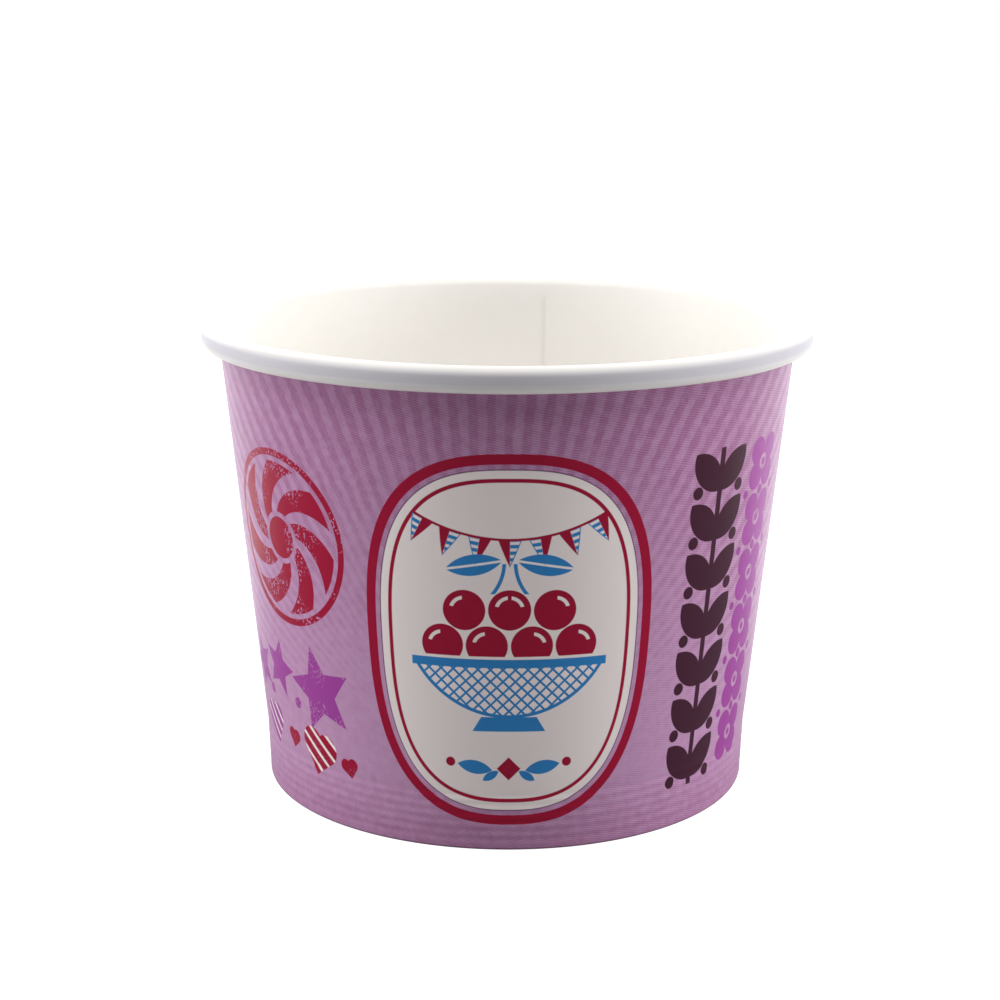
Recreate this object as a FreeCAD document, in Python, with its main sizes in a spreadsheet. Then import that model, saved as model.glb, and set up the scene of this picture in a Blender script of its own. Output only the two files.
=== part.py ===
import FreeCAD, Part
import math
import os

import Sketcher
from FreeCAD import Placement, Rotation, Vector

# Paper dessert cup, in two pieces of board.
# The side wall is one sheet bent into a cone: rolled outward at the rim, hemmed at the foot,
# and glued to itself along an upright lap at the back.
# The bottom disc is recessed, and its skirt is glued between the wall and the hem.
# Millimetres, +Z up, origin at the centre of the circle that the cup stands on.
# The front faces -Y. Board thickness is measured level, straight out from the axis.

sizes = {
    "rim_diameter": 98.0,  # over the rolled rim
    "cup_height": 75.6,  # from the foot to the top of the rolled rim
    "roll_height": 3.9,  # of the rolled rim
    "roll_overhang": 2.9,  # of the rolled rim, past the printed face just under it
    "roll_gap": 0.15,  # between the end of the roll and the printed face
    "roll_turn": 215.0,  # degrees that the foot of the roll turns, from its widest point
    "base_diameter": 79.1,  # over the printed face at the foot
    "band_height": 9.5,  # of the pressed band that holds the bottom disc
    "band_flare": 0.35,  # that the band widens on each side, from its foot to its top
    "wall_board": 0.35,  # thickness of the side wall's sheet
    "disc_board": 0.3,  # thickness of the bottom disc's sheet
    "disc_drop": 0.2,  # from the top of the band down to the disc's upper face
    "disc_bend": 0.3,  # inner radius of the fold from disc to skirt
    "skirt_clearance": 0.15,  # between the skirt's edge and the fold of the hem
    "hem_clearance": 1.0,  # between the hem's edge and the disc above it
    "lap_azimuth": 81.0,  # degrees round from +X to the sheet's inner cut edge
    "lap_width": 6.0,  # that the sheet's two ends overlap, at the rim
    "lap_lift": 1.0,  # from the foot up to the lap's outer layer
    "joggle_width": 1.0,  # of the step from the inner face out onto the lap
}

document = FreeCAD.newDocument("PaperDessertCup")
sheet = document.addObject("Spreadsheet::Sheet", "Sizes")
for row, (alias, number) in enumerate(sizes.items(), start=1):
    sheet.set(f"A{row}", alias)
    sheet.set(f"B{row}", str(number))
    sheet.setAlias(f"B{row}", alias)
document.recompute()

# Radii, levels and angles that the sections share, as expressions on the sheet
board = "Sizes.wall_board"
rimRadius = "(Sizes.rim_diameter / 2)"
neckRadius = f"({rimRadius} - Sizes.roll_overhang)"
neckLevel = "(Sizes.cup_height - Sizes.roll_height)"
footRadius = "(Sizes.base_diameter / 2)"
bandRadius = f"({footRadius} + Sizes.band_flare)"
bandSlope = f"(Sizes.band_flare / (Sizes.band_height - {board}))"
coneSlope = f"(({neckRadius} - {bandRadius}) / ({neckLevel} - Sizes.band_height))"
rollRadius = f"((Sizes.roll_overhang - Sizes.roll_gap) / (2 + {coneSlope}))"
discLevel = "(Sizes.band_height - Sizes.disc_drop)"
hemLevel = f"({discLevel} - Sizes.disc_board - Sizes.hem_clearance)"
skirtLevel = f"({board} + Sizes.skirt_clearance)"
skirtRadius = f"({footRadius} - {board} + {bandSlope} * Sizes.skirt_clearance)"
lapFootRadius = f"({footRadius} + {bandSlope} * (Sizes.lap_lift - {board}))"
lapTurn = f"(Sizes.lap_width / {neckRadius} * 180 / pi)"
joggleTurn = f"(Sizes.joggle_width / {neckRadius} * 180 / pi)"
joggleAzimuth = f"(Sizes.lap_azimuth + {joggleTurn})"

# Numbers by which a sketch names the ends and middle of its geometry, and its own two axes
startPoint, endPoint, centrePoint = range(1, 4)
levelAxis, uprightAxis = -1, -2


def evaluate(expression):
    return float(sheet.evalExpression(expression))


def newBody(label):
    body = document.addObject("PartDesign::Body", label)
    body.Label = label
    body.Placement = Placement()
    return body


# Upright half plane at an azimuth, with x as the radius and y as the height
def newSketch(body, name, azimuth="0"):
    sketch = body.newObject("Sketcher::SketchObject", name)
    plane = next(item for item in body.Origin.OriginFeatures if item.Role == "XZ_Plane")
    sketch.AttachmentSupport = (plane, [""])
    sketch.MapMode = "FlatFace"
    sketch.AttachmentOffset = Placement(Vector(), Rotation(Vector(0, 1, 0), evaluate(azimuth)))
    sketch.setExpression("AttachmentOffset.Rotation.Angle", azimuth)
    return sketch


def constrain(sketch, kind, *place):
    return sketch.addConstraint(Sketcher.Constraint(kind, *place))


# Binds a new constraint's value to an expression, which gives an angle in degrees
def setSize(sketch, name, expression, kind, *place):
    number = evaluate(expression)
    if kind == "Angle":
        number = math.radians(number)
    index = constrain(sketch, kind, *place, number)
    sketch.renameConstraint(index, name)
    sketch.setExpression(f"Constraints.{name}", expression)


def pinAcross(sketch, name, expression, geometry, point):
    setSize(sketch, name, expression, "DistanceX", levelAxis, startPoint, geometry, point)


def pinUp(sketch, name, expression, geometry, point):
    setSize(sketch, name, expression, "DistanceY", levelAxis, startPoint, geometry, point)


# A run of an outline is its geometry, the end where it is entered and the end where it is left
def addLine(sketch, first, last):
    geometry = sketch.addGeometry(Part.LineSegment(first, last), False)
    return geometry, startPoint, endPoint


def addArc(sketch, middle, radius, low, high, clockwise=False):
    circle = Part.Circle(middle, Vector(0, 0, 1), radius)
    geometry = sketch.addGeometry(Part.ArcOfCircle(circle, low, high), False)
    if clockwise:
        return geometry, endPoint, startPoint
    return geometry, startPoint, endPoint


# Joins each run to the one after it, at a corner or smoothly
def joinRuns(sketch, kind, *runs):
    for run, following in zip(runs, runs[1:]):
        constrain(sketch, kind, run[0], run[2], following[0], following[1])


# Guide point that a line or an arc passes through
def passThrough(sketch, name, across, up, run):
    place = Vector(evaluate(across), evaluate(up), 0)
    guide = sketch.addGeometry(Part.Point(place), True)
    pinAcross(sketch, f"{name}Across", across, guide, startPoint)
    pinUp(sketch, f"{name}Up", up, guide, startPoint)
    constrain(sketch, "PointOnObject", guide, startPoint, run[0])


# Highest point of an arc, straight above its centre
def pinCrown(sketch, name, up, arc, middle):
    crown = sketch.addGeometry(Part.Point(Vector(middle.x, evaluate(up), 0)), True)
    constrain(sketch, "PointOnObject", crown, startPoint, arc[0])
    constrain(sketch, "Vertical", crown, startPoint, arc[0], centrePoint)
    pinUp(sketch, name, up, crown, startPoint)


# Closed outline of straight runs, with every corner at its radius and level
def drawCorners(sketch, corners):
    places = [Vector(evaluate(across), evaluate(up), 0) for across, up in corners]
    runs = [addLine(sketch, places[i - 1], places[i]) for i in range(len(places))]
    joinRuns(sketch, "Coincident", *runs, runs[0])
    for run, (across, up) in zip(runs, corners):
        pinAcross(sketch, f"across{run[0]}", across, run[0], endPoint)
        pinUp(sketch, f"up{run[0]}", up, run[0], endPoint)


# Strip of the wall from the foot of the lap to its top, between two distances from the inner face
def drawStrip(sketch, inner, outer):
    levels = (
        (lapFootRadius, "Sizes.lap_lift"),
        (bandRadius, "Sizes.band_height"),
        (neckRadius, neckLevel),
    )
    inside = [(f"{radius} - {board} + {inner}", level) for radius, level in levels]
    outside = [(f"{radius} - {board} + {outer}", level) for radius, level in levels]
    drawCorners(sketch, inside + outside[::-1])


def revolve(body, kind, name, sketch, turn, clockwise=False):
    feature = body.newObject(f"PartDesign::{kind}", name)
    feature.Profile = sketch
    feature.ReferenceAxis = (sketch, ["V_Axis"])
    feature.Reversed = clockwise
    feature.setExpression("Angle", turn)
    return feature


# Upper bend of the roll: it touches its widest line, its top and one face of the cone
def upperBend(side, top, wall):
    slope = evaluate(coneSlope)
    steepness = math.hypot(1, slope)
    reach = side - wall - slope * (top - evaluate(neckLevel))
    radius = reach / (1 + steepness - slope)
    middle = Vector(side - radius, top - radius, 0)
    return middle, radius, middle + Vector(-radius, radius * slope, 0) / steepness


# Section of the side wall: inner face from the hem's edge to the roll's end, then back outside
def drawSheet(sketch):
    thick = evaluate(board)
    rim, neck, bend = evaluate(rimRadius), evaluate(neckRadius), evaluate(rollRadius)
    band, bandUp = evaluate(bandRadius), evaluate("Sizes.band_height")
    foot = evaluate(footRadius) - thick
    hem, hemUp = foot - evaluate("Sizes.disc_board"), evaluate(hemLevel)
    hemTop = hem + evaluate(bandSlope) * (hemUp - thick)
    top = evaluate("Sizes.cup_height")
    middle, radius, leave = upperBend(rim, top, neck - thick)
    insideMiddle, insideRadius, insideLeave = upperBend(rim - thick, top - thick, neck)
    footMiddle = Vector(rim - bend, evaluate(neckLevel) + bend, 0)
    coneTurn = math.pi - math.atan(evaluate(coneSlope))
    rollTurn = math.radians(evaluate("Sizes.roll_turn"))
    rollEndWay = Vector(math.cos(rollTurn), -math.sin(rollTurn), 0)
    down, back = -math.pi / 2, -math.pi

    hemInner = addLine(sketch, Vector(hemTop, hemUp, 0), Vector(hem, thick, 0))
    foldInner = addLine(sketch, Vector(hem, thick, 0), Vector(foot, thick, 0))
    bandInner = addLine(sketch, Vector(foot, thick, 0), Vector(band - thick, bandUp, 0))
    coneInner = addLine(sketch, Vector(band - thick, bandUp, 0), leave)
    rollTop = addArc(sketch, middle, radius, 0, coneTurn, clockwise=True)
    rollSide = addLine(sketch, Vector(rim, middle.y, 0), Vector(rim, footMiddle.y, 0))
    rollFoot = addArc(sketch, footMiddle, bend, -rollTurn, 0, clockwise=True)
    rollEnd = addLine(
        sketch, footMiddle + rollEndWay * bend, footMiddle + rollEndWay * (bend - thick)
    )
    insideFoot = addArc(sketch, footMiddle, bend - thick, -rollTurn, 0)
    insideSide = addLine(
        sketch, Vector(rim - thick, footMiddle.y, 0), Vector(rim - thick, insideMiddle.y, 0)
    )
    insideTop = addArc(sketch, insideMiddle, insideRadius, 0, coneTurn)
    conePrint = addLine(sketch, insideLeave, Vector(band, bandUp, 0))
    bandPrint = addLine(sketch, Vector(band, bandUp, 0), Vector(foot + thick, thick, 0))
    wallFold = addArc(sketch, Vector(foot, thick, 0), thick, down, 0, clockwise=True)
    restLine = addLine(sketch, Vector(foot, 0, 0), Vector(hem, 0, 0))
    hemFold = addArc(sketch, Vector(hem, thick, 0), thick, back, down, clockwise=True)
    hemPrint = addLine(sketch, Vector(hem - thick, thick, 0), Vector(hemTop - thick, hemUp, 0))
    hemEdge = addLine(sketch, Vector(hemTop - thick, hemUp, 0), Vector(hemTop, hemUp, 0))

    joinRuns(sketch, "Tangent", coneInner, rollTop, rollSide, rollFoot)
    joinRuns(sketch, "Tangent", insideFoot, insideSide, insideTop, conePrint)
    joinRuns(sketch, "Tangent", bandPrint, wallFold, restLine, hemFold, hemPrint)
    joinRuns(sketch, "Coincident", hemPrint, hemEdge, hemInner, foldInner, bandInner, coneInner)
    joinRuns(sketch, "Coincident", rollFoot, rollEnd, insideFoot)
    joinRuns(sketch, "Coincident", conePrint, bandPrint)
    for line in (foldInner, hemEdge, restLine):
        constrain(sketch, "Horizontal", line[0])
    for line in (rollSide, insideSide):
        constrain(sketch, "Vertical", line[0])
    for line in (hemInner, bandPrint, hemPrint):
        constrain(sketch, "Parallel", line[0], bandInner[0])
    constrain(sketch, "Parallel", conePrint[0], coneInner[0])
    constrain(sketch, "Coincident", rollFoot[0], centrePoint, insideFoot[0], centrePoint)
    constrain(sketch, "PointOnObject", restLine[0], startPoint, levelAxis)

    pinAcross(sketch, "footAcross", f"{footRadius} - {board}", bandInner[0], startPoint)
    pinUp(sketch, "foldUp", board, bandInner[0], startPoint)
    pinAcross(sketch, "bandAcross", f"{bandRadius} - {board}", bandInner[0], endPoint)
    pinUp(sketch, "bandUp", "Sizes.band_height", bandInner[0], endPoint)
    pinAcross(sketch, "printAcross", bandRadius, bandPrint[0], startPoint)
    pinUp(sketch, "printUp", "Sizes.band_height", bandPrint[0], startPoint)
    pinUp(sketch, "hemUp", hemLevel, hemEdge[0], startPoint)
    pinAcross(sketch, "rimAcross", rimRadius, rollSide[0], startPoint)
    pinAcross(sketch, "insideAcross", f"{rimRadius} - {board}", insideSide[0], startPoint)
    pinUp(sketch, "rollFootUp", f"{neckLevel} + {rollRadius}", rollFoot[0], centrePoint)
    pinCrown(sketch, "topUp", "Sizes.cup_height", rollTop, middle)
    pinCrown(sketch, "insideTopUp", f"Sizes.cup_height - {board}", insideTop, insideMiddle)
    passThrough(sketch, "neck", f"{neckRadius} - {board}", neckLevel, coneInner)
    for name, line, size in (("fold", foldInner, "Sizes.disc_board"), ("edge", hemEdge, board)):
        setSize(sketch, name, size, "DistanceX", line[0], startPoint, line[0], endPoint)
    for name, arc in (("wallBend", wallFold), ("hemBend", hemFold)):
        setSize(sketch, name, board, "Radius", arc[0])
    setSize(sketch, "rollBend", rollRadius, "Radius", rollFoot[0])
    for name, arc in (("rollTurn", rollFoot), ("insideTurn", insideFoot)):
        setSize(sketch, name, "Sizes.roll_turn", "Angle", arc[0])


# One sheet: a full turn of its section, with its two ends lapped at the back
def makeSideWall():
    body = newBody("side_wall")
    section = newSketch(body, "SheetSection", "Sizes.lap_azimuth")
    drawSheet(section)
    revolve(body, "Revolution", "Sheet", section, "360")

    opening = newSketch(body, "LapOpening", "Sizes.lap_azimuth")
    drawStrip(opening, "-Sizes.disc_board / 2", f"2 * {board}")
    revolve(body, "Groove", "LapOpened", opening, joggleTurn)

    flush = newSketch(body, "JoggleFlush", joggleAzimuth)
    drawStrip(flush, "0", board)
    raised = newSketch(body, "JoggleRaised", "Sizes.lap_azimuth")
    drawStrip(raised, board, f"2 * {board}")
    joggle = body.newObject("PartDesign::AdditiveLoft", "Joggle")
    joggle.Profile = flush
    joggle.Sections = [raised]
    joggle.Ruled = True

    outer = newSketch(body, "LapSection", "Sizes.lap_azimuth")
    drawStrip(outer, board, f"2 * {board}")
    revolve(body, "Revolution", "LapOuterLayer", outer, lapTurn, clockwise=True)
    return body


# One disc with its edge folded down, between the wall's inner face and the hem
def makeBottomDisc():
    body = newBody("bottom_disc")
    sketch = newSketch(body, "DiscSection")
    thick, bend = evaluate("Sizes.disc_board"), evaluate("Sizes.disc_bend")
    level, side = evaluate(discLevel), evaluate(bandRadius) - evaluate(board)
    edge, edgeUp = evaluate(skirtRadius), evaluate(skirtLevel)
    under = level - thick
    middle = Vector(side - thick - bend, under - bend, 0)
    quarter = math.pi / 2

    upper = addLine(sketch, Vector(0, level, 0), Vector(middle.x, level, 0))
    outerBend = addArc(sketch, middle, bend + thick, 0, quarter, clockwise=True)
    outerSkirt = addLine(sketch, Vector(side, middle.y, 0), Vector(edge, edgeUp, 0))
    skirtEdge = addLine(sketch, Vector(edge, edgeUp, 0), Vector(edge - thick, edgeUp, 0))
    innerSkirt = addLine(
        sketch, Vector(edge - thick, edgeUp, 0), Vector(side - thick, middle.y, 0)
    )
    innerBend = addArc(sketch, middle, bend, 0, quarter)
    lower = addLine(sketch, Vector(middle.x, under, 0), Vector(0, under, 0))
    axis = addLine(sketch, Vector(0, under, 0), Vector(0, level, 0))

    joinRuns(sketch, "Tangent", upper, outerBend, outerSkirt)
    joinRuns(sketch, "Tangent", innerSkirt, innerBend, lower)
    joinRuns(sketch, "Coincident", outerSkirt, skirtEdge, innerSkirt)
    joinRuns(sketch, "Coincident", lower, axis, upper)
    for line in (upper, skirtEdge, lower):
        constrain(sketch, "Horizontal", line[0])
    constrain(sketch, "PointOnObject", axis[0], startPoint, uprightAxis)
    constrain(sketch, "PointOnObject", axis[0], endPoint, uprightAxis)
    constrain(sketch, "Parallel", innerSkirt[0], outerSkirt[0])
    pinUp(sketch, "upperUp", discLevel, axis[0], endPoint)
    pinUp(sketch, "lowerUp", f"{discLevel} - Sizes.disc_board", axis[0], startPoint)
    pinAcross(sketch, "edgeAcross", skirtRadius, skirtEdge[0], startPoint)
    pinUp(sketch, "edgeUp", skirtLevel, skirtEdge[0], startPoint)
    passThrough(sketch, "wall", f"{bandRadius} - {board}", "Sizes.band_height", outerSkirt)
    setSize(sketch, "edge", "Sizes.disc_board", "Distance", skirtEdge[0])
    setSize(sketch, "outerBend", "Sizes.disc_bend + Sizes.disc_board", "Radius", outerBend[0])
    setSize(sketch, "innerBend", "Sizes.disc_bend", "Radius", innerBend[0])
    revolve(body, "Revolution", "Disc", sketch, "360")
    return body


bodies = [makeSideWall(), makeBottomDisc()]
document.recompute()

for item in document.Objects:
    if "Invalid" in item.State or "Error" in item.State:
        raise RuntimeError(f"{item.Name} failed: {item.State}")
for body in bodies:
    if body.Shape.isNull() or not body.Shape.isValid() or len(body.Shape.Solids) != 1:
        raise RuntimeError(f"{body.Label} isn't one valid solid")

os.makedirs("parts", exist_ok=True)
for body in bodies:
    body.Shape.exportStep(f"parts/{body.Label}.step")
    box = body.Shape.optimalBoundingBox(False)
    size = f"{box.XLength:.2f} x {box.YLength:.2f} x {box.ZLength:.2f} mm"
    print(f"{body.Label}: {body.Shape.Volume:.1f} mm3, {size}")
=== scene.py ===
from math import atan2, cos, degrees, hypot, pi, radians, sin

import bmesh
import bpy
from mathutils import Euler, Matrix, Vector


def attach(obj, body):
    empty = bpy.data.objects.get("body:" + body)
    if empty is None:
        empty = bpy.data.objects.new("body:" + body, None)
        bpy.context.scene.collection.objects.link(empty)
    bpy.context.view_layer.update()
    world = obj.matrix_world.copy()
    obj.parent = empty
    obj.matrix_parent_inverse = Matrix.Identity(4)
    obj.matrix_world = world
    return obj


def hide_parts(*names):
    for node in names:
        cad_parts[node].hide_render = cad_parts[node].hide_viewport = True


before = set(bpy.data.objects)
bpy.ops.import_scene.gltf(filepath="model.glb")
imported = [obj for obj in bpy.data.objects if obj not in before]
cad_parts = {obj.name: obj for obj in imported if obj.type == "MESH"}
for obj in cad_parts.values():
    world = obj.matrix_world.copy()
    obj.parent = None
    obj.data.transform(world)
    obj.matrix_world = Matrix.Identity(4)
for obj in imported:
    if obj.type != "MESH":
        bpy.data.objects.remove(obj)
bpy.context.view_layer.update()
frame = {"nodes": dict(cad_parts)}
print("frame loaded:", ", ".join(frame["nodes"]))

mm = 0.001

# The wall's one sheet of board, in mm and degrees, with the section that the frame has
wall = {
    "rimRadius": 49.0,
    "board": 0.35,
    "footRadius": 39.55,  # printed face at the foot
    "bandRadius": 39.9,  # printed face where the pressed band ends
    "bandTop": 9.5,
    "neckRadius": 46.1,  # printed face where the roll's foot meets it
    "neckUp": 71.7,
    "hemRadius": 38.9,  # inner face of the hem's fold
    "hemTop": 8.0,
    "rollCrown": (47.498, 74.098, 1.502),  # centre and radius of the roll's upper bend
    "rollFoot": (47.69, 73.01, 1.31),  # and of its lower bend
    "rollTurn": 215,
    "bandEdge": (0.5, 0.1, 0.01),  # the band's upper edge: starts above, ends below, steps in
    "columns": 288,
    "bandRows": 34,
    "coneRows": 40,
    "hemRows": 8,
    "sideRows": 3,  # between the roll's two bends
    "shortRows": 2,
    "bendSteps": 14,
    "tuckSteps": 22,
    "foldSteps": 6,
    "lapAt": 81.0,  # inner cut edge, round from +X
    "lapColumns": 6,
    "lapFoot": 1.0,
    "lapInside": 0.96,  # share of a layer that the lap stands out inside
    "cutEdge": 0.04,  # degrees that a cut edge of the lap takes up
    "cutEnd": 0.06,  # height that its upper and lower ends take up
    "rimDip": 0.14,  # that the roll sinks beside the lap's layers
    "dipTurns": (2.5, 1.25, 9),  # degrees past the lap: full at, easing off from, gone
    "dipTowards": (47.6, 73.6),  # middle of the roll
    "ridges": 6,  # faint lines pressed into the foot band
    "ridgeDepth": 0.07,
    "mergeWithin": 0.0005,
    "sharpFrom": 35,  # degrees between two faces
}
coneSlope = (wall["neckRadius"] - wall["bandRadius"]) / (wall["neckUp"] - wall["bandTop"])
bandSlope = (wall["bandRadius"] - wall["footRadius"]) / (wall["bandTop"] - wall["board"])
slack = 0.001  # for comparing heights


# Draws an outline in the XZ plane with a chain of vertices, and keeps where each stretch starts
class Pen:
    def __init__(self, mesh, across, up):
        self.mesh = mesh
        self.tip = mesh.verts.new((across, 0, up))
        self.marks = {}

    def mark(self, name):
        self.marks[name] = len(self.mesh.verts) - 1

    def line(self, across, up, rows=1):
        start, end = self.tip.co.copy(), Vector((across, 0, up))
        for row in range(1, rows + 1):
            self.tip = bmesh.ops.extrude_vert_indiv(self.mesh, verts=[self.tip])["verts"][0]
            self.tip.co = start.lerp(end, row / rows)

    def arc(self, across, up, turn, steps):  # anticlockwise as the front camera sees +X and +Z
        made = bmesh.ops.spin(
            self.mesh, geom=[self.tip], cent=(across, 0, up), axis=(0, -1, 0),
            angle=radians(turn), steps=steps,
        )
        self.tip = next(item for item in made["geom_last"] if isinstance(item, bmesh.types.BMVert))


def coneFace(up, inset=0.0):  # radius of the cone's printed face at a height
    return wall["bandRadius"] + coneSlope * (up - wall["bandTop"]) - inset


def bandFace(up):
    return wall["footRadius"] + bandSlope * (up - wall["board"])


def drawSection(mesh):
    board, steps = wall["board"], wall["bendSteps"]
    lean = 180 - degrees(atan2(coneSlope, 1))
    crownX, crownUp, crownR = wall["rollCrown"]
    footX, footUp, footR = wall["rollFoot"]
    hemIn = wall["hemRadius"]
    hemLean = bandSlope * (wall["hemTop"] - board)
    lapTop, lapEnd = wall["neckUp"] + wall["cutEnd"], wall["lapFoot"] - wall["cutEnd"]
    above, below, stepIn = wall["bandEdge"]
    pen = Pen(mesh, hemIn + hemLean, wall["hemTop"])
    pen.line(hemIn, board, wall["hemRows"])
    pen.line(wall["footRadius"] - board, board)
    pen.line(wall["bandRadius"] - board, wall["bandTop"], wall["hemRows"])
    pen.mark("inside")
    pen.line(coneFace(wall["neckUp"], board), wall["neckUp"], wall["coneRows"])
    start = crownX + crownR * cos(radians(lean)), crownUp + crownR * sin(radians(lean))
    pen.line(*start, wall["shortRows"])
    pen.mark("roll")
    pen.arc(crownX, crownUp, -lean, steps)
    pen.line(wall["rimRadius"], footUp, wall["sideRows"])
    pen.arc(footX, footUp, -wall["rollTurn"], wall["tuckSteps"])
    pen.mark("hidden")
    ending = radians(-wall["rollTurn"])
    pen.line(footX + (footR - board) * cos(ending), footUp + (footR - board) * sin(ending))
    pen.arc(footX, footUp, wall["rollTurn"], steps)
    pen.line(wall["rimRadius"] - board, crownUp, wall["sideRows"])
    pen.arc(crownX, crownUp, lean, steps)
    pen.mark("print")
    pen.line(coneFace(lapTop), lapTop, wall["shortRows"])
    pen.line(coneFace(wall["neckUp"]), wall["neckUp"])
    pen.line(coneFace(wall["bandTop"] + above), wall["bandTop"] + above, wall["coneRows"])
    pen.line(wall["bandRadius"] - stepIn, wall["bandTop"] - below)
    pen.line(bandFace(wall["lapFoot"]), wall["lapFoot"], wall["bandRows"])
    pen.line(bandFace(lapEnd), lapEnd)
    pen.line(wall["footRadius"], board, wall["shortRows"])
    pen.arc(wall["footRadius"] - board, board, -90, wall["foldSteps"])
    pen.mark("hem")
    pen.line(hemIn, 0)
    pen.arc(hemIn, board, -90, wall["foldSteps"])
    pen.line(hemIn - board + hemLean, wall["hemTop"], wall["hemRows"])
    return pen


# How far a point of the spun wall moves out along its radius, for the lap and the pressed lines
def outward(turn, up, run, marks):
    past = turn - wall["lapAt"]
    column = 360 / wall["columns"]
    lapStart = -wall["lapColumns"] * column
    inLap = wall["lapFoot"] - slack < up < wall["neckUp"] + slack
    move = 0.0
    if marks["print"] < run < marks["hem"]:
        if inLap and lapStart + wall["cutEdge"] / 2 < past < column / 2:
            move += wall["board"]
        low, high = wall["lapFoot"], wall["bandTop"]
        if low < up < high:
            share = (up - low) / (high - low)
            move -= wall["ridgeDepth"] * (0.5 - 0.5 * cos(2 * pi * wall["ridges"] * share))
    elif marks["inside"] < run < marks["roll"] and inLap:
        if wall["cutEdge"] / 2 < past < column / 2:
            move += wall["board"] * wall["lapInside"]
    return move


def buildWall():
    mesh = bmesh.new()
    runLayer = mesh.verts.layers.float.new("run")
    pen = drawSection(mesh)
    chain = list(mesh.verts)
    travelled, starts = 0.0, []
    for before, vert in zip([chain[0], *chain], chain):
        travelled += (vert.co - before.co).length
        vert[runLayer] = travelled
        starts.append(travelled)
    marks = {name: starts[index] for name, index in pen.marks.items()}
    mesh.edges.new((chain[-1], chain[0]))
    toLap = Euler((0, 0, radians(wall["lapAt"]))).to_matrix()
    bmesh.ops.rotate(mesh, verts=chain, cent=(0, 0, 0), matrix=toLap)
    bmesh.ops.spin(
        mesh, geom=[*mesh.verts, *mesh.edges], cent=(0, 0, 0), axis=(0, 0, 1),
        angle=2 * pi, steps=wall["columns"], use_merge=True,
    )
    bmesh.ops.remove_doubles(mesh, verts=mesh.verts, dist=wall["mergeWithin"])
    print("wall spun:", len(mesh.verts), "vertices")

    # A column beside each cut edge of the lap is cut again, so that the edge's face is narrow
    column, margin = 360 / wall["columns"], 0.1
    nearTurn, lowest, highest = column * 0.6, wall["lapFoot"] - margin, wall["neckUp"] + margin
    cuts = (
        ("print", "hem", wall["cutEdge"] - wall["lapColumns"] * column),
        ("inside", "roll", wall["cutEdge"]),
    )
    for first, last, past in cuts:
        turn = radians(wall["lapAt"] + past)
        near = [
            face for face in mesh.faces
            if marks[first] < faceRun(face, runLayer) < marks[last]
            and abs(turnPast(face.calc_center_median(), turn)) < nearTurn
            and lowest < face.calc_center_median().z < highest
        ]
        around = {item for face in near for item in (face, *face.edges, *face.verts)}
        bmesh.ops.bisect_plane(
            mesh, geom=list(around), dist=1e-6, plane_co=(0, 0, 0), plane_no=(-sin(turn), cos(turn), 0)
        )
    rollStart = marks["roll"] - 0.5  # a little below the first bend
    for vert in mesh.verts:
        x, y, up = vert.co
        turn = degrees(atan2(y, x))
        stretch = 1 + outward(turn, up, vert[runLayer], marks) / hypot(x, y)
        vert.co = (x * stretch, y * stretch, up)
        if rollStart < vert[runLayer] < marks["hidden"]:
            sinkRoll(vert, turn)
    bmesh.ops.recalc_face_normals(mesh, faces=mesh.faces)
    mapWall(mesh, runLayer, marks)
    for vert in mesh.verts:
        vert.co *= mm
    return mesh


def faceRun(face, layer):
    runs = [vert[layer] for vert in face.verts]
    return sum(runs) / len(runs)


def turnPast(place, turn):  # degrees from a turn to a place, between -180 and 180
    return (degrees(atan2(place.y, place.x) - turn) + 180) % 360 - 180


# The roll sinks a little just past the lap, where it goes from three layers back to two
def sinkRoll(vert, turn):
    past = turn - wall["lapAt"]
    deepest, easing, gone = wall["dipTurns"]
    if 0 < past < gone:
        share = sin(pi * min(past / deepest, 1) / 2) * (1 - max(past - easing, 0) / (gone - easing))
        out, up = wall["dipTowards"]
        middle = Vector((cos(radians(turn)) * out, sin(radians(turn)) * out, up))
        vert.co += (middle - vert.co).normalized() * wall["rimDip"] * share


# Flat places for a bake: the printed front gets half of the map, the rest shares the other half.
# Halves in degrees from the middle of the front or the back
bake = {"half": 94, "halfRound": 181, "frontUntil": 92.5, "margin": 0.002, "closing": 0.3}


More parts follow.
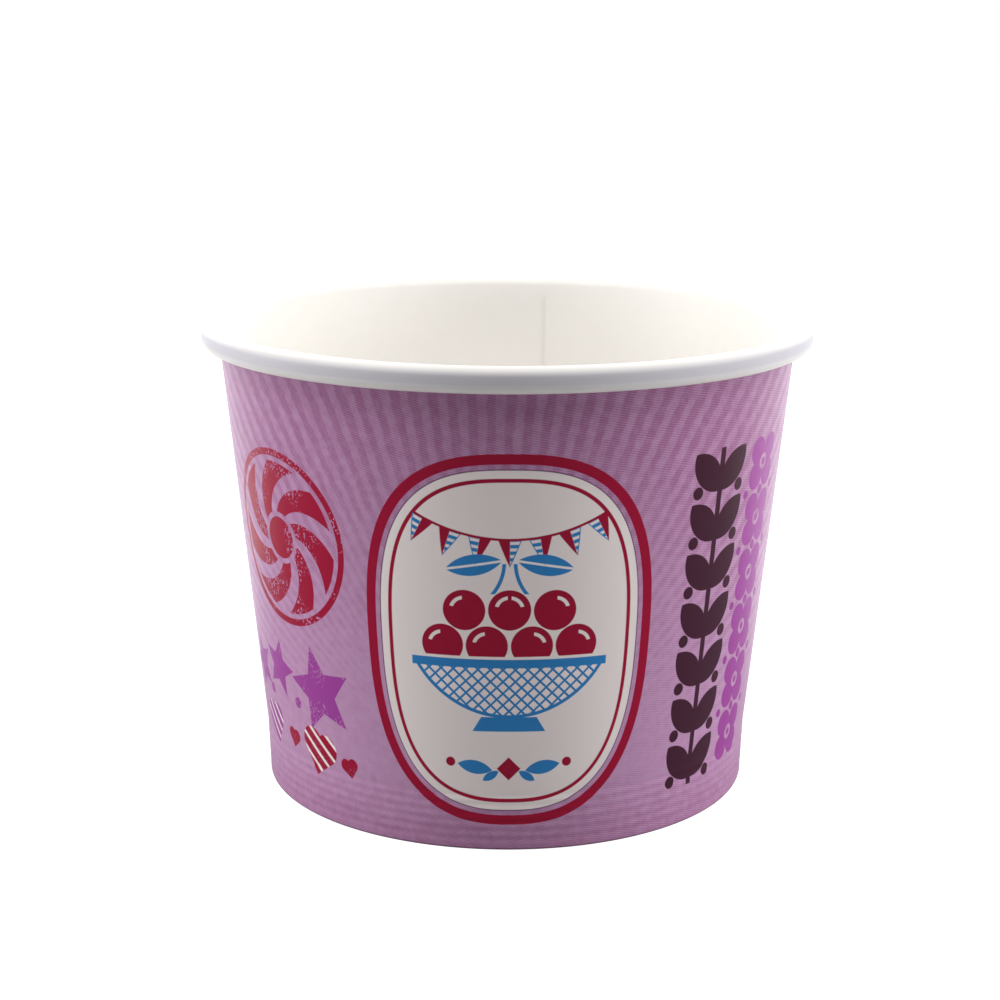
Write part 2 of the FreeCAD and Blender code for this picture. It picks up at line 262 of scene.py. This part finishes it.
def mapWall(mesh, runLayer, marks):
    uvLayer = mesh.loops.layers.uv.new("OFBake")
    whole = max(vert[runLayer] for vert in mesh.verts)
    rows = {  # part of the run and of the map's height
        "front": (marks["print"], marks["hem"], 0.0, 0.46),
        "back": (marks["print"], marks["hem"], 0.47, 0.71),
        "inside": (marks["inside"], marks["roll"], 0.72, 0.87),
        "roll": (marks["roll"], marks["hidden"], 0.88, 0.93),
        "hidden": (marks["hidden"], marks["print"], 0.94, 0.955),
        "hem": (marks["hem"], whole + 1, 0.962, 0.978),
        "fold": (0.0, marks["inside"], 0.984, 1.0),
    }
    for face in mesh.faces:
        middle = face.calc_center_median()
        azimuth = turnPast(middle, radians(-90))
        runs = {vert: vert[runLayer] for vert in face.verts}
        if max(runs.values()) - min(runs.values()) > whole / 2:  # where the outline closes
            end = whole + bake["closing"]
            runs = {vert: run if run > whole / 2 else end for vert, run in runs.items()}
        run = sum(runs.values()) / len(runs)
        name = next(name for name, row in rows.items() if row[0] <= run <= row[1] and name != "front")
        if name == "back" and abs(azimuth) < bake["frontUntil"]:
            name = "front"
        first, last, low, high = rows[name]
        printed = marks["print"] < run < marks["hem"]
        face.material_index = 0 if printed else 1
        for loop in face.loops:
            turn = azimuth + turnPast(loop.vert.co, atan2(middle.y, middle.x))
            if name == "back":
                turn = turn % 360 - 180
            half = bake["half"] if name in ("front", "back") else bake["halfRound"]
            across = (turn + half) / (2 * half)
            share = (runs[loop.vert] - first) / (last - first)
            loop[uvLayer].uv = (
                bake["margin"] + (1 - 2 * bake["margin"]) * across,
                low + (high - low) * min(max(share, 0), 1),
            )
        face.smooth = True


def newObject(name, mesh, materials):
    data = bpy.data.meshes.new(name)
    mesh.to_mesh(data)
    mesh.free()
    for material in materials:
        data.materials.append(material)
    piece = bpy.data.objects.new(name, data)
    bpy.context.scene.collection.objects.link(piece)
    return piece


# What the print is made of: ink colours as the screen shows them, with the colours of painted shade and
# painted light on the wall
inks = {
    "lilac": "#C599BF",
    "lilacDeep": "#A36A93",
    "crimson": "#A20834",
    "cream": "#F3E9E7",
    "blue": "#2F83C6",
    "plum": "#41192D",
    "purple": "#A0419B",
    "board": "#FCF9F5",
    "boardShade": "#F7F3ED",
    # roll: painted shade for the roll's outer face
    "roll": "#BAB6C3",
    # crevice: painted light, a pale line under the roll
    "paintedLightUnderRoll": "#E9C7DC",
    # edge: the label's printed outline, and painted shade along the foot
    "edge": "#6F4A66",
}


def shade(hexColour):
    channels = [int(hexColour[i:i + 2], 16) / 255 for i in (1, 3, 5)]
    return (*[c / 12.92 if c < 0.04045 else ((c + 0.055) / 1.055) ** 2.4 for c in channels], 1)


def plug(tree, node, values):
    for value, entry in zip(values, node.inputs):
        if isinstance(value, Field):
            tree.links.new(value.socket, entry)
        else:
            entry.default_value = value


# A number or a vector that changes over the surface. Each operator adds a node.
# Shapes are distances in mm, below zero inside. With shapes | joins two, & keeps
# what two share, and - turns one inside out
class Field:
    def __init__(self, socket):
        self.socket = socket
        self.tree = socket.id_data

    def calc(self, operation, *others, clamp=False):
        node = self.tree.nodes.new("ShaderNodeMath")
        node.operation = operation
        node.use_clamp = clamp
        plug(self.tree, node, (self, *others))
        return Field(node.outputs[0])

    def __add__(self, other):
        return self.calc("ADD", other)

    def __sub__(self, other):
        return self.calc("SUBTRACT", other)

    def __mul__(self, other):
        return self.calc("MULTIPLY", other)

    def __or__(self, other):
        return self.calc("MINIMUM", other)

    def __and__(self, other):
        return self.calc("MAXIMUM", other)

    def __rsub__(self, other):
        return self.calc("MULTIPLY_ADD", -1, other)

    def __neg__(self):
        return self.calc("MULTIPLY", -1)

    def __abs__(self):
        return self.calc("ABSOLUTE")

    def wrap(self, period):  # repeats from minus half a period to plus half
        return self.calc("WRAP", period / 2, -period / 2)

    def line(self, width):  # a line of that width along the shape's edge
        return abs(self) - width / 2

    def ink(self, softness=0.1):  # 1 inside the shape and 0 outside
        return self.calc("MULTIPLY_ADD", -1 / softness, 0.5, clamp=True)

    def between(self, low, high):  # 0 below low, 1 above high
        return self.calc("MULTIPLY_ADD", 1 / (high - low), -low / (high - low), clamp=True)


# A place on a drawing, in mm across and up
class Spot:
    def __init__(self, x, y=None):
        if y is not None:
            node = x.tree.nodes.new("ShaderNodeCombineXYZ")
            plug(x.tree, node, (x, y))
            x = Field(node.outputs[0])
        self.vector = x
        split = x.tree.nodes.new("ShaderNodeSeparateXYZ")
        plug(x.tree, split, (x,))
        self.x, self.y, self.up = (Field(socket) for socket in split.outputs)

    def vectorCalc(self, operation, *others, output="Vector"):
        node = self.vector.tree.nodes.new("ShaderNodeVectorMath")
        node.operation = operation
        plug(self.vector.tree, node, (self.vector, *others))
        return Field(node.outputs[output])

    def at(self, x, y, turn=0.0, scale=1.0):  # the drawing's own centre goes to x, y
        node = self.vector.tree.nodes.new("ShaderNodeMapping")
        node.vector_type = "TEXTURE"
        plug(self.vector.tree, node, (self.vector, (x, y, 0), (0, 0, radians(turn)), (scale, scale, 1)))
        return Spot(Field(node.outputs[0]))

    def mirrored(self):
        return Spot(abs(self.x), self.y)

    def reach(self, x=0.0, y=0.0):
        return self.vectorCalc("DISTANCE", (x, y, 0), output="Value")

    def bearing(self):  # radians, 0 to the right
        return self.y.calc("ARCTAN2", self.x)

    def disc(self, x, y, radius):
        return self.reach(x, y) - radius

    def squareOval(self, halfWidth, halfHeight, power):  # 2 is an oval, more is squarer
        across, up = abs(self.x) * (1 / halfWidth), abs(self.y) * (1 / halfHeight)
        size = (across.calc("POWER", power) + up.calc("POWER", power)).calc("POWER", 1 / power)
        steepX = across.calc("POWER", power - 1) * (1 / halfWidth)
        steepY = up.calc("POWER", power - 1) * (1 / halfHeight)
        steep = Spot(steepX, steepY).reach() * size.calc("POWER", 1 - power)
        return (size - 1).calc("DIVIDE", steep)

    def leaf(self, length, width):  # pointed at both ends, along x
        radius = (length ** 2 + width ** 2) / (4 * width)
        return self.disc(0, width / 2 - radius, radius) & self.disc(0, radius - width / 2, radius)

    def heart(self, size):
        half = self.mirrored()
        diamond = (half.x + abs(half.y) - size) * 0.707
        return diamond | half.disc(size / 2, size / 2, size * 0.707)

    def star(self, points, outer, inner):
        folded = (self.bearing() - pi / 2).calc("PINGPONG", pi / points)
        tipX, dipX, dipY = outer, inner * cos(pi / points), inner * sin(pi / points)
        lean = atan2(tipX - dipX, dipY)
        return self.reach() * (folded - lean).calc("COSINE") - tipX * cos(lean)


# Node group of one drawing. draw returns a shape for each ink, in the order in which they're printed
def stamp(name, draw, spot):
    group = bpy.data.node_groups.new(name, "ShaderNodeTree")
    group.interface.new_socket("Place", in_out="INPUT", socket_type="NodeSocketVector")
    source = group.nodes.new("NodeGroupInput")
    result = group.nodes.new("NodeGroupOutput")
    shapes = draw(Spot(Field(source.outputs[0])))
    for ink, shape in shapes.items():
        group.interface.new_socket(ink, in_out="OUTPUT", socket_type="NodeSocketFloat")
        group.links.new(shape.ink().socket, result.inputs[ink])
    node = spot.vector.tree.nodes.new("ShaderNodeGroup")
    node.node_tree = group
    plug(spot.vector.tree, node, (spot.vector,))
    return {ink: Field(node.outputs[ink]) for ink in shapes}


def joined(shapes):
    whole, *others = shapes
    for shape in others:
        whole = whole | shape
    return whole


def blendInto(tree, below, above, share):
    node = tree.nodes.new("ShaderNodeMix")
    node.data_type = "RGBA"
    for entry, value in ((0, share), (6, below), (7, above)):
        if isinstance(value, Field):
            tree.links.new(value.socket, node.inputs[entry])
        else:
            node.inputs[entry].default_value = value
    return Field(node.outputs[2])


def noise(vector, scale, detail=2.0):
    node = vector.tree.nodes.new("ShaderNodeTexNoise")
    node.inputs["Scale"].default_value = scale
    node.inputs["Detail"].default_value = detail
    plug(vector.tree, node, (vector,))
    return Field(node.outputs[0])


def newMaterial(name):
    material = bpy.data.materials.new(name)
    material.use_nodes = True
    tree = material.node_tree
    shader = next(node for node in tree.nodes if node.type == "BSDF_PRINCIPLED")
    place = Field(tree.nodes.new("ShaderNodeTexCoord").outputs["Object"])
    return material, tree, shader, place


# Colour, uneven gloss and grain of one material
def coat(tree, shader, place, colour, sizes):
    tree.links.new(colour.socket, shader.inputs["Base Color"])
    roughness = noise(place, sizes["glossScale"]).calc("MULTIPLY_ADD", *sizes["roughness"])
    tree.links.new(roughness.socket, shader.inputs["Roughness"])
    bump = tree.nodes.new("ShaderNodeBump")
    bump.inputs["Distance"].default_value = sizes["grainDepth"]
    tree.links.new(noise(place, sizes["grainScale"], 3).socket, bump.inputs["Height"])
    tree.links.new(bump.outputs["Normal"], shader.inputs["Normal"])


# Oval label on the front, its rings and its field
label = {
    "at": (0.4, 33.4),
    "shape": (22.2, 29.2, 2.6),  # half width, half height, squareness
    "ring": 1.55,
    "gap": 0.8,
    "margin": 1.3,
    "fineLine": 0.6,
    "outline": 0.17,
}


def drawLabel(spot):
    edge = spot.squareOval(*label["shape"])
    field = edge + label["ring"] + label["gap"]
    return {
        "crimson": edge & -(edge + label["ring"]),
        "cream": field,
        "edge": field.line(label["outline"]),
        "fine crimson": (field + label["margin"] + label["fineLine"] / 2).line(label["fineLine"]),
    }


# Row of pennants that hangs across the top of the label's field
bunting = {"centre": (0, 43.5), "radius": 27.2, "pitch": 4.3, "drop": 4.2}


def drawBunting(spot):
    centred = spot.at(*bunting["centre"])
    along = (centred.x.calc("ARCTAN2", -centred.y)) * bunting["radius"]
    below = centred.reach() - bunting["radius"]
    pennant = (abs(along.wrap(bunting["pitch"])) + below * 0.4 - bunting["drop"] * 0.4) & -below
    field = spot.squareOval(*label["shape"]) + label["ring"] + label["gap"] + label["margin"] + 0.2
    odd = abs((along + bunting["pitch"] / 2).wrap(bunting["pitch"] * 2)) - bunting["pitch"] / 2
    oddOnly = odd - 0.001
    stripes = abs(below.wrap(1.0)) - 0.27
    return {
        "crimson": pennant & field & oddOnly,
        "blue": pennant & field & -oddOnly & (stripes | (pennant + 0.001).line(0.3)),
        "fine crimson": below.line(0.38) & field,
    }


# Bowl of round fruit in the middle of the label; only the right half's places are named
bowl = {
    "up": 26.6,
    "scale": 0.9,
    "radius": 18.2,
    "centreUp": 13.0,
    "rimUp": 4.2,
    "rimReach": 16.6,
    "lattice": (2.1, 0.26),  # pitch and half width
    "fruitRadius": 3.5,
    "fruit": ((3.75, 7.3), (11.2, 7.4), (0, 13.6), (7.45, 13.5)),
}


def drawBowl(spot):
    half = spot.mirrored()
    balls, glints = [], []
    for x, y in bowl["fruit"]:
        ball = half.disc(x, y, bowl["fruitRadius"])
        balls.append(ball)
        glints.append((ball + bowl["fruitRadius"] * 0.38).line(0.6) & half.disc(x + 1.8, y + 2.1, 1.5))
    fruit, shine = joined(balls), joined(glints)
    overRim = half.y - bowl["rimUp"]
    dish = half.disc(0, bowl["centreUp"], bowl["radius"]) & overRim
    rimBar = abs(overRim) - 0.75 & half.x - bowl["rimReach"]
    foot = (half.x + half.y * 0.6 - 1.6) & abs(half.y + 6.6) - 1.3
    pitch, halfWidth = bowl["lattice"]
    lattice = (abs((half.x + half.y).wrap(pitch)) | abs((half.x - half.y).wrap(pitch))) - halfWidth
    stem = half.disc(9.6, 21.8, 8.7).line(0.6) & (half.y - 21.6) & -(half.y - 16.4) & half.x - 8
    leaf = half.at(5.8, 21.3, turn=-10)
    return {
        "crimson": fruit & -(rimBar - 0.5),
        "cream": shine & -(rimBar - 0.5),
        "blue": rimBar | foot | dish.line(0.6) & overRim | dish & lattice
        | stem | leaf.leaf(9.4, 3.6) & -(abs(leaf.y) - 0.2),
    }


# Two sprigs with a lozenge between them, low in the label
sprigs = {"up": 13.4}


def drawSprigs(spot):
    half = spot.mirrored()
    leaves = half.at(5.4, 0.2, turn=10).leaf(5.6, 2.2) | half.at(2.9, -1.2, turn=-32).leaf(3.0, 1.3)
    return {
        "crimson": (half.x + abs(half.y) - 1.9) * 0.707 | half.disc(9.3, 0.9, 0.75),
        "blue": leaves,
    }


# Round sweet with curved arms, left of the label
swirl = {"at": (-39.3, 45.4), "radius": 14.0, "arms": 7, "share": 0.6, "twist": 0.105}


def drawSwirl(spot):
    away = spot.reach()
    bearing = spot.bearing() + away * swirl["twist"]
    arms = (abs(bearing.wrap(2 * pi / swirl["arms"])) - pi / swirl["arms"] * swirl["share"]) * away
    rounded = arms & away - (swirl["radius"] - 1.9) & -(away - 4.1)
    hub = away - 3.3
    ring = (away - swirl["radius"] + 0.55).line(1.1)
    return {"crimson": rounded | hub | ring}


# Stars under the sweet, with dots between them
stars = {
    "points": 5,
    "places": (  # across, up, turn, tips, dips, rounding
        (-33.2, 21.6, 12, 6.6, 3.1, 0.35),
        (-45.2, 22.8, -14, 4.3, 2.0, 0.3),
        (-54.0, 21.2, 20, 4.3, 2.0, 0.3),
    ),
    "dots": ((-39.6, 18.2), (-49.4, 18.0)),
    "dotRadius": 0.9,
}


def drawStars(spot):
    shapes = [
        spot.at(x, y, turn).star(stars["points"], tips, dips) - rounding
        for x, y, turn, tips, dips, rounding in stars["places"]
    ]
    shapes += [spot.disc(x, y, stars["dotRadius"]) for x, y in stars["dots"]]
    return {"purple": joined(shapes)}


# Hearts at the left of the foot: across, up, turn, size
hearts = {
    "middle": (-35.0, 10.6, -12, 3.5),
    "far": (-50.0, 11.6, 8, 3.2),
    "small": ((-27.6, 9.9, 10, 1.5), (-42.2, 11.4, -8, 1.5)),
    "stripes": (3.1, 0.45),  # pitch and half width
}


def drawHearts(spot):
    def heartAt(x, y, turn, size):
        return spot.at(x, y, turn).heart(size)

    pitch, halfWidth = hearts["stripes"]
    stripes = (abs((spot.x + spot.y * 1.2).wrap(pitch)) - halfWidth) * 0.7
    middle, far = heartAt(*hearts["middle"]), heartAt(*hearts["far"])
    return {
        "crimson": joined([middle, *(heartAt(*place) for place in hearts["small"])]),
        "purple": far,
        "cream": (middle | far) & stripes,
    }


# Upright leafy branch in plum, right of the label
branch = {"at": 34.2, "low": 6.2, "high": 60.8, "pitch": 7.8}


def drawBranch(spot):
    length = branch["high"] - branch["low"]
    half = spot.at(branch["at"], branch["low"] + length / 2).mirrored()
    local = Spot(half.x, half.y.wrap(branch["pitch"]))
    leaves = local.at(2.8, 0.35, turn=48).leaf(8.4, 4.6)
    berries = local.disc(4.6, -2.6, 1.0)
    return {"plum": (leaves | half.x - 0.55 | berries) & abs(half.y) - length / 2}


# Upright row of flowers in purple, at the right edge
posy = {"at": 46.4, "low": 7.2, "high": 61.0, "pitch": 8.95}


def drawPosy(spot):
    placed = spot.at(posy["at"], posy["low"] + posy["pitch"] / 2)
    local = Spot(abs(placed.x), abs(placed.y.wrap(posy["pitch"])))
    flower = local.disc(2.15, 2.0, 2.2)
    heart = local.reach() - 1.25
    tips = local.disc(0, posy["pitch"] / 2, 0.8) | local.disc(4.9, posy["pitch"] / 2, 0.7)
    length = posy["high"] - posy["low"]
    ends = abs(placed.y - length / 2 + posy["pitch"] / 2) - length / 2
    return {"purple": (flower & -heart | local.reach() - 0.6 | tips & ends + 0.9) & ends}


# Printed face: lilac with fine rays, the drawings, a little wear, painted shade under the roll and at the
# foot, a painted pale line of light under the roll, and a satin coat
printed = {
    "radius": 43.0,  # at which a mm across is a mm
    "rayCentre": (-2.8, 8.0),
    "rayPitch": 2.4,  # degrees
    "rayStrength": 0.42,
    "rayContrast": 1.1,
    "rayWobble": 2.2,
    "wobbleScale": 480,
    "rayAway": (16, 62),  # mm from the centre: none, full
    "rayUp": (8, 30),
    "raySides": (90, 74),  # degrees to either side
    "screenPitch": 0.36,
    "screenLean": 9,
    "screenStrength": 0.26,
    "mottle": 0.95,
    "mottleScale": 800,
    "deeper": 0.08,
    "paintedShadeUnderRoll": (28, 64, 0.32),  # painted shade under the roll: none, full, how much
    # painted shade at the foot: none, full, how much
    "paintedShadeAtFoot": (11, 2, 0.45),
    "speckScale": 2600,
    "speckFrom": (0.6, 0.64),
    "patchScale": 170,
    "patchFrom": (0.45, 0.55),
    "paintedLightUnderRoll": (0.45, 0.2, 0.7),  # painted light: a pale line just under the roll
    # painted shade along the foot's bottom edge
    "paintedShadeAlongFoot": (0.45, 0.2, 0.7),
    "specular": 0.17,
    "glossScale": 700,
    "roughness": (0.16, 0.24),  # spread and least
    "grainScale": 1500,
    "grainDepth": 0.00001,
}


def fading(field, none, full, share):
    return field.between(none, full) * share


def makePrintedBoard():
    material, tree, shader, place = newMaterial("printedBoard")
    solid = Spot(place)
    azimuth = solid.x.calc("ARCTAN2", -solid.y)
    up = solid.up * (1 / mm)
    spot = Spot(azimuth * printed["radius"], up)
    frontSide = (abs(azimuth) - pi / 2).ink(0.001)

    centreX, centreUp = printed["rayCentre"]
    rayAcross = (azimuth - centreX / printed["radius"]).wrap(pi)  # the back has rays of its own
    rays = Spot(rayAcross * printed["radius"], up - centreUp)
    wobble = (noise(place, printed["wobbleScale"], 3) - 0.5) * printed["rayWobble"]
    wave = (rays.bearing() * (360 / printed["rayPitch"]) + wobble).calc("SINE")
    sides = abs(rayAcross).between(*(radians(turn) for turn in printed["raySides"]))
    strength = rays.reach().between(*printed["rayAway"]) * up.between(*printed["rayUp"]) * sides
    tone = wave.calc("MULTIPLY_ADD", printed["rayContrast"], 0.5, clamp=True)
    tone = tone * strength * printed["rayStrength"]
    screen = (up + azimuth * printed["screenLean"]) * (2 * pi / printed["screenPitch"])
    tone = tone + screen.calc("SINE") * printed["screenStrength"]
    tone = tone + (noise(place, printed["mottleScale"], 4) - 0.5) * printed["mottle"]
    # painted shade: the lilac darkens towards the roll and towards the foot
    deeper = fading(up, *printed["paintedShadeUnderRoll"]) + fading(up, *printed["paintedShadeAtFoot"])
    tone = tone + deeper + printed["deeper"]
    colour = blendInto(tree, shade(inks["lilac"]), shade(inks["lilacDeep"]), tone)

    specks = noise(place, printed["speckScale"], 0).between(*printed["speckFrom"])
    specks = specks * noise(place, printed["patchScale"]).between(*printed["patchFrom"])
    middle = label["at"][0]
    drawings = (  # the last number is how much the specks take off
        ("label", drawLabel, spot.at(*label["at"]), 0),
        ("bunting", drawBunting, spot.at(*label["at"]), 0),
        ("bowl", drawBowl, spot.at(middle, bowl["up"], scale=bowl["scale"]), 0),
        ("sprigs", drawSprigs, spot.at(middle, sprigs["up"]), 0),
        ("swirl", drawSwirl, spot.at(*swirl["at"]), 0.85),
        ("stars", drawStars, spot, 0.5),
        ("hearts", drawHearts, spot, 0.15),
        ("branch", drawBranch, spot, 0),
        ("posy", drawPosy, spot, 0),
    )
    for name, draw, centre, worn in drawings:
        for ink, mask in stamp(name, draw, centre).items():
            if worn:
                mask = mask * (specks * -worn + 1)
            colour = blendInto(tree, colour, shade(inks[ink.split()[-1]]), mask * frontSide)
    # painted light: a pale line along the print's top, just under the roll
    paintedLightUnderRoll = fading(wall["neckUp"] - up, *printed["paintedLightUnderRoll"])
    colour = blendInto(tree, colour, shade(inks["paintedLightUnderRoll"]), paintedLightUnderRoll)
    # painted shade: a thin dark line along the foot's bottom edge
    colour = blendInto(tree, colour, shade(inks["edge"]), fading(up, *printed["paintedShadeAlongFoot"]))
    shader.inputs["Specular IOR Level"].default_value = printed["specular"]
    coat(tree, shader, place, colour, printed)
    print("print drawn:", len(tree.nodes), "nodes and", len(bpy.data.node_groups), "groups")
    return material


# Unprinted board with its thin coat, and painted shade on the roll's outer face
coated = {
    "fibreScale": 420,
    "cloudScale": 45,
    "paintedRollShade": 0.75,
    "rollShadeOut": (47.5, 48.7),  # from the axis: none, full
    "rollShadeAbove": (72.2, 73.2),
    "rollShadeBelow": (75.4, 74.3),
    "glossScale": 300,
    "roughness": (0.15, 0.33),
    "grainScale": 1100,
    "grainDepth": 0.00001,
}


def makeCoatedBoard(name):
    material, tree, shader, place = newMaterial(name)
    fibres, clouds = noise(place, coated["fibreScale"], 4), noise(place, coated["cloudScale"])
    colour = blendInto(tree, shade(inks["board"]), shade(inks["boardShade"]), fibres * 0.5 + clouds * 0.5)
    # painted shade: the roll's outer face is a little greyer, standing in for its shading
    solid = Spot(place)
    up = solid.up * (1 / mm)
    rollShadeMask = (Spot(solid.x, solid.y).reach() * (1 / mm)).between(*coated["rollShadeOut"])
    rollShadeMask = rollShadeMask * up.between(*coated["rollShadeAbove"]) * up.between(*coated["rollShadeBelow"])
    colour = blendInto(tree, colour, shade(inks["roll"]), rollShadeMask * coated["paintedRollShade"])
    coat(tree, shader, place, colour, coated)
    return material


printedBoard = makePrintedBoard()
coatedBoard = makeCoatedBoard("coatedBoard")
sideWall = newObject("sideWallSheet", buildWall(), [printedBoard, coatedBoard])
sideWall.data.set_sharp_from_angle(angle=radians(wall["sharpFrom"]))
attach(sideWall, "root")
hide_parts("side_wall")

disc = frame["nodes"]["bottom_disc"]
disc.data.materials.clear()
disc.data.materials.append(makeCoatedBoard("discBoard"))
print("wall and disc dressed")

# Studio: pale floor, white surroundings, soft lamps
studio = {
    "floorRadius": 2.5,
    "floorColour": "#A6A6A6",
    "floorRoughness": 0.9,
    "paleNear": 0.85,  # brightness of the floor round the cup
    "paleFrom": (0.09, 0.35),  # metres over which it goes white
    "mirrorFrom": (0.015, 0.09),  # metres behind the cup from which the floor shows in its gloss
    "surroundings": 0.05,  # how much the surroundings light the cup
    "frontMirror": 0.08,  # how bright they look in a gloss that faces the camera
    "mirrorTurn": (0.1, 0.9),
    "lens": 73.2,
    "cameraAt": (-0.00106, -0.3258, 0.1245),
    "cameraPitch": 13.73,
    "cameraRoll": 0.21,
}


def makeFloor():
    mesh = bmesh.new()
    bmesh.ops.create_circle(mesh, cap_ends=True, segments=96, radius=studio["floorRadius"])
    material, tree, shader, place = newMaterial("paleFloor")
    shader.inputs["Base Color"].default_value = shade(studio["floorColour"])
    shader.inputs["Roughness"].default_value = studio["floorRoughness"]
    shader.inputs["Emission Color"].default_value = (1, 1, 1, 1)
    path, spot = tree.nodes.new("ShaderNodeLightPath"), Spot(place)
    far = spot.reach().between(*studio["paleFrom"])
    glow = far.calc("MULTIPLY_ADD", 1 - studio["paleNear"], studio["paleNear"])
    mirrored = Field(path.outputs["Is Glossy Ray"]) * spot.y.between(*studio["mirrorFrom"])
    seen = (mirrored + Field(path.outputs["Is Camera Ray"])) * glow
    tree.links.new(seen.socket, shader.inputs["Emission Strength"])
    floor = newObject("floor", mesh, [material])


# The surroundings are white to the eye, and dimmer in what they give and in front
def makeSurroundings():
    world = bpy.data.worlds.new("surroundings")
    bpy.context.scene.world = world
    world.use_nodes = True
    tree = world.node_tree
    path = tree.nodes.new("ShaderNodeLightPath")
    glossy = Field(path.outputs["Is Glossy Ray"]) & Field(path.outputs["Is Transmission Ray"])
    away = Spot(Field(tree.nodes.new("ShaderNodeTexCoord").outputs["Generated"]))
    back = away.y.between(*studio["mirrorTurn"])
    mirror = back.calc("MULTIPLY_ADD", 1 - studio["frontMirror"], studio["frontMirror"])
    level = glossy * (mirror - studio["surroundings"]) + studio["surroundings"]
    eye = Field(path.outputs["Is Camera Ray"])
    background = tree.nodes["Background"]
    background.inputs["Color"].default_value = (1, 1, 1, 1)
    tree.links.new((level & eye).socket, background.inputs["Strength"])


# Lamps stand in pairs, the place given is the right one's; one more hangs high in front
lamps = {
    "Low": {"at": (0.62, -0.02, 0.12), "size": (0.3, 0.2), "powers": (1.8, 2.1)},
    "High": {"at": (0.45, -0.02, 0.5), "size": (0.4, 0.4), "powers": (1.95, 1.85)},
    "Rear": {"at": (0.3, 0.52, 0.3), "size": (0.3, 0.5), "powers": (1.5, 1.5), "cool": True},
}
aimed, coolTint = (0, 0, 0.04), (0.84, 0.9, 1.0)


def addLamp(name, place, target, size, power, cool=False):
    data = bpy.data.lights.new(name, "AREA")
    data.shape = "RECTANGLE"
    data.size, data.size_y = size
    data.energy = power
    data.color = coolTint if cool else (1, 1, 1)
    lamp = bpy.data.objects.new(name, data)
    lamp.location = place
    lamp.visible_glossy = cool
    lamp.rotation_euler = (Vector(target) - Vector(place)).to_track_quat("-Z", "Y").to_euler()
    bpy.context.scene.collection.objects.link(lamp)


def addLamps():
    for height, lamp in lamps.items():
        across, back, up = lamp["at"]
        for side, sign, power in zip(("left", "right"), (-1, 1), lamp["powers"]):
            place = (sign * across, back, up)
            addLamp(side + height, place, aimed, lamp["size"], power, lamp.get("cool", False))
    addLamp("overhead", (0, -0.31, 0.68), (0, 0, 0.03), (0.5, 0.4), 2.0)


def addCamera():
    data = bpy.data.cameras.new("camera")
    data.lens = studio["lens"]
    camera = bpy.data.objects.new("camera", data)
    camera.location = studio["cameraAt"]
    camera.rotation_euler = (
        Euler((radians(90 - studio["cameraPitch"]), 0, 0)).to_matrix()
        @ Euler((0, 0, radians(studio["cameraRoll"]))).to_matrix()
    ).to_euler()
    bpy.context.scene.collection.objects.link(camera)
    bpy.context.scene.camera = camera


makeFloor()
makeSurroundings()
addLamps()
addCamera()
bpy.context.scene.view_settings.view_transform = "Standard"
print("studio ready")
